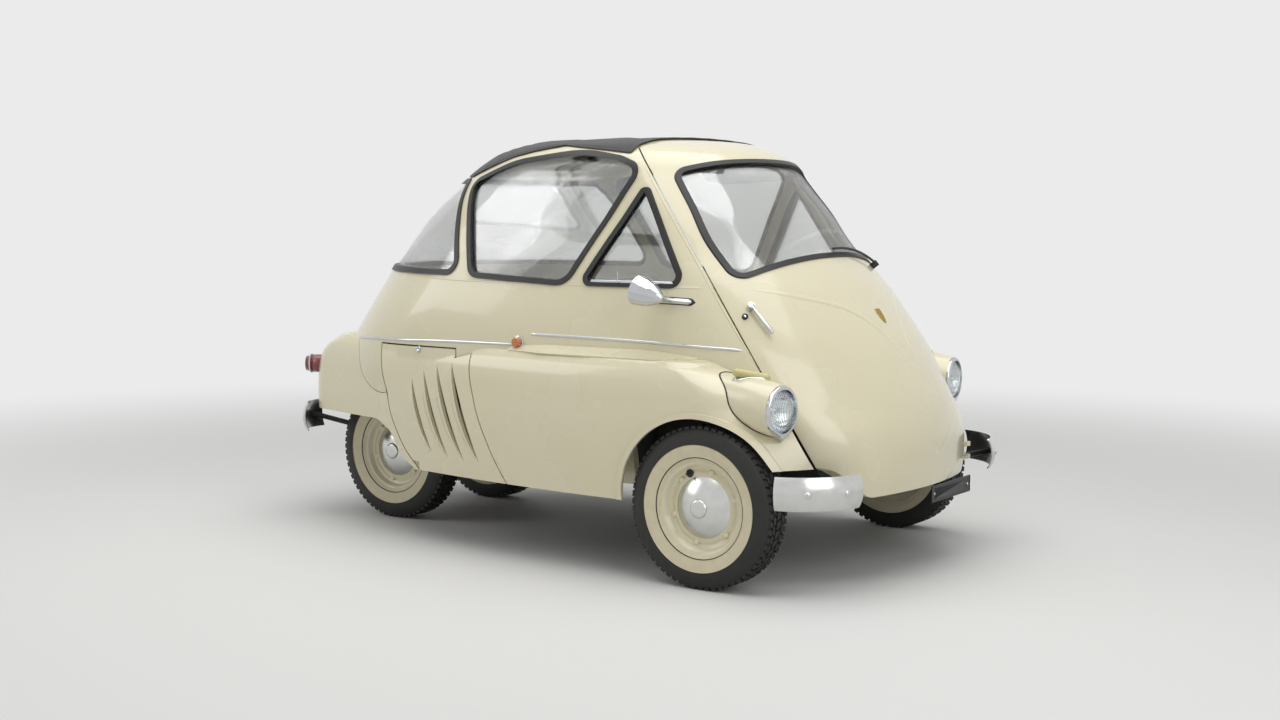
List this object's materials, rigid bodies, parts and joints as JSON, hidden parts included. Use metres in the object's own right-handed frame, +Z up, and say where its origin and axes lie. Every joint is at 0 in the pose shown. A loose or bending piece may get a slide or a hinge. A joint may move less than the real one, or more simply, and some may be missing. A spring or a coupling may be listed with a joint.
{
  "type": "bubble car",
  "caption": "Small egg-shaped bubble car with a door that is its whole front, a fabric roof, steered front wheels, a narrow rear axle and an opening engine cover.",
  "frame": {"origin": "on the ground, under the middle of the car's box", "axes": "+X forward, +Y to the car's left, +Z up"},
  "size_m": [2.2748, 1.3514, 1.3204],
  "materials": {
    "cream_paint": "gloss enamel, warm cream",
    "black_rubber": "satin moulded rubber",
    "window_glass": "clear safety glass and perspex",
    "roof_canvas": "rubberised cotton duck",
    "black_paint": "satin chassis black",
    "cast_steel": "machined and oiled",
    "polished_aluminium": "polished, slightly dulled",
    "plate_black": "blank, gloss black",
    "tyre_rubber": "black tread, cream whitewall",
    "engine_iron": "rough casting",
    "seat_fabric": "woven seat cloth",
    "chrome_trim": "polished chrome plate",
    "lamp_glass": "pressed clear glass",
    "reflector": "silvered",
    "wheel_plastic": "ivory celluloid over steel",
    "black_plastic": "moulded, matt",
    "amber_lens": "ribbed amber",
    "red_lens": "ribbed red"
  },
  "bodies": {
    "body": {"cabin_shell": "cream_paint", "canvas_roof": "roof_canvas", "chain_case": "engine_iron", "chassis_frame": "black_paint", "door_mirror": "chrome_trim", "engine_block": "engine_iron", "exhaust": "cast_steel", "floor_pan": "black_paint", "front_axle": "black_paint", "front_bumpers": "polished_aluminium", "front_plate": "plate_black", "headlamp_bowls": "reflector", "headlamp_lenses": "lamp_glass", "headlamp_rings": "chrome_trim", "mirror_glass": "reflector", "nacelles": "cream_paint", "parking_lamps": "amber_lens", "quarter_windows": "window_glass", "rear_bumpers": "polished_aluminium", "rear_window": "window_glass", "seat_back": "seat_fabric", "seat_base": "black_paint", "seat_cushion": "seat_fabric", "side_lamps": "amber_lens", "side_windows": "window_glass", "tail_lamps": "red_lens", "tail_panel": "cream_paint", "window_seals": "black_rubber", "wing_left": "cream_paint", "wing_right": "cream_paint"},
    "door": {"front_door": "cream_paint", "windscreen": "window_glass", "windscreen_seal": "black_rubber", "steering_column": "black_paint", "door_handle": "chrome_trim", "wiper": "black_rubber", "interior_mirror": "black_plastic", "door_lock": "black_plastic"},
    "steering_wheel": {"steering_wheel": "wheel_plastic"},
    "engine_cover": {"engine_cover": "cream_paint"},
    "knuckle_right": {"knuckle_right": "cast_steel"},
    "knuckle_left": {"knuckle_left": "cast_steel"},
    "wheel_front_right": {"front_tyre_right": "tyre_rubber", "front_rim_right": "cream_paint", "front_cap_right": "polished_aluminium"},
    "wheel_front_left": {"front_tyre_left": "tyre_rubber", "front_rim_left": "cream_paint", "front_cap_left": "polished_aluminium"},
    "rear_wheels": {"rear_axle": "cast_steel", "rear_tyres": "tyre_rubber", "rear_rims": "cream_paint", "rear_caps": "polished_aluminium"}
  },
  "joints": [
    {"name": "door_hinge", "type": "hinge", "parent": "body", "child": "door", "pos_m": [1.0475, 0.42, 0.31], "axis": [0, 0, 1], "range_deg": [0, 80]},
    {"name": "cover_hinge", "type": "hinge", "parent": "body", "child": "engine_cover", "pos_m": [-0.0525, -0.606, 0.246], "axis": [0.9916, -0.1292, 0], "range_deg": [0, 75]},
    {"name": "steer_right", "type": "hinge", "parent": "body", "child": "knuckle_right", "pos_m": [0.7075, -0.545, 0.236], "axis": [0, 0, 1], "range_deg": [-28, 28]},
    {"name": "steer_left", "type": "hinge", "parent": "body", "child": "knuckle_left", "pos_m": [0.7075, 0.545, 0.236], "axis": [0, 0, 1], "range_deg": [-28, 28]},
    {"name": "steering_wheel_turn", "type": "hinge", "parent": "door", "child": "steering_wheel", "pos_m": [0.4225, 0.25, 0.742], "axis": [-0.8498, 0, 0.527], "range_deg": [-336, 336]},
    {"name": "spin_front_right", "type": "hinge", "parent": "knuckle_right", "child": "wheel_front_right", "pos_m": [0.7075, -0.6, 0.236], "axis": [0, 1, 0], "continuous": true},
    {"name": "spin_front_left", "type": "hinge", "parent": "knuckle_left", "child": "wheel_front_left", "pos_m": [0.7075, 0.6, 0.236], "axis": [0, 1, 0], "continuous": true},
    {"name": "spin_rear", "type": "hinge", "parent": "body", "child": "rear_wheels", "pos_m": [-0.7925, 0, 0.236], "axis": [0, 1, 0], "continuous": true}
  ],
  "couplings": [
    {"joint": "steer_left", "follows": "steer_right", "ratio": 1},
    {"joint": "steering_wheel_turn", "follows": "steer_right", "ratio": 12}
  ]
}
